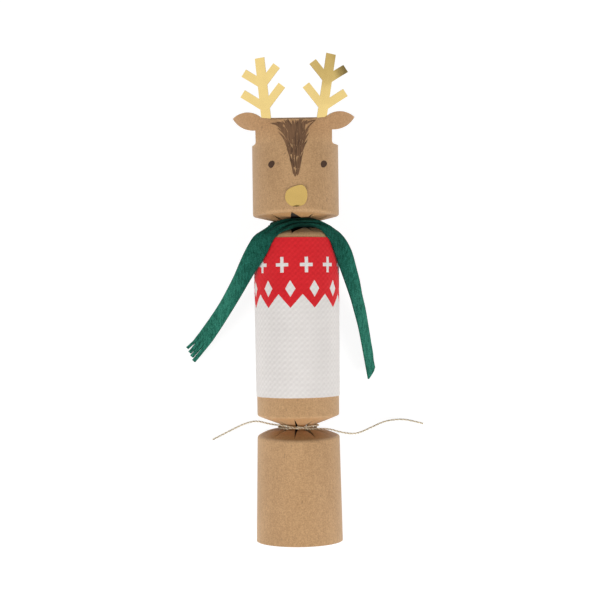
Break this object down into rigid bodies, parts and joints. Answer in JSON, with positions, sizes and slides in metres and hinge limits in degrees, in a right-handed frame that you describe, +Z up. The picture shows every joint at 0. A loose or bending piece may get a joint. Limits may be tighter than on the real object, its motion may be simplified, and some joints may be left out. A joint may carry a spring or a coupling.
{
  "type": "christmas cracker",
  "caption": "Kraft card party cracker dressed as a reindeer, with ears, gold antlers, sweater band, felt scarf and twine, that pulls apart at its pinched necks.",
  "frame": {"origin": "lowest point of the foot barrel's flat rim, where it meets the table that the cracker lies on", "axes": "+Y along the cracker from its foot to its head, +Z up, the way the face looks, +X to the right of someone looking down at the face"},
  "size_m": [0.1434, 0.2865, 0.0514],
  "materials": {
    "kraft_card": "matte",
    "gold_card": "satin",
    "sweater_paper": "matte",
    "green_felt": "matte",
    "twine": "matte",
    "snap_card": "matte",
    "snap_paper": "matte",
    "snap_charge": "matte",
    "crown_tissue": "matte",
    "rubber_band": "matte",
    "wood": "satin",
    "motto_paper": "matte",
    "tape": "satin"
  },
  "bodies": {
    "body": {"body_barrel": "kraft_card", "body_seam_tape": "tape", "sweater_band": "sweater_paper", "scarf": "green_felt", "twine_tie": "twine", "twine_left_tail": "twine", "twine_right_tail": "twine"},
    "head": {"head_barrel": "kraft_card", "head_seam_tape": "tape", "left_antler": "gold_card", "right_antler": "gold_card", "nose_foil": "gold_card", "snap_upper_strip": "snap_card"},
    "foot": {"foot_barrel": "kraft_card", "foot_seam_tape": "tape", "snap_lower_strip": "snap_card", "snap_sleeve": "snap_paper", "snap_charge": "snap_charge"},
    "crown": {"paper_crown": "crown_tissue", "crown_rubber_band": "rubber_band"},
    "gift": {"gift_top_disc": "wood", "gift_top_peg": "wood"},
    "motto": {"motto_slip": "motto_paper"}
  },
  "joints": [
    {"name": "head_pull", "type": "slide", "parent": "body", "child": "head", "axis": [0, 1, 0], "range_m": [0, 0.12]},
    {"name": "foot_pull", "type": "slide", "parent": "body", "child": "foot", "axis": [0, -1, 0], "range_m": [0, 0.12]},
    {"name": "crown_slide", "type": "slide", "parent": "body", "child": "crown", "axis": [0, 1, 0], "range_m": [-0.0218, 0.0218]},
    {"name": "gift_slide", "type": "slide", "parent": "body", "child": "gift", "axis": [0, 1, 0], "range_m": [-0.0385, 0.0385]},
    {"name": "motto_slide", "type": "slide", "parent": "body", "child": "motto", "axis": [0, 1, 0], "range_m": [-0.0298, 0.0298]}
  ]
}
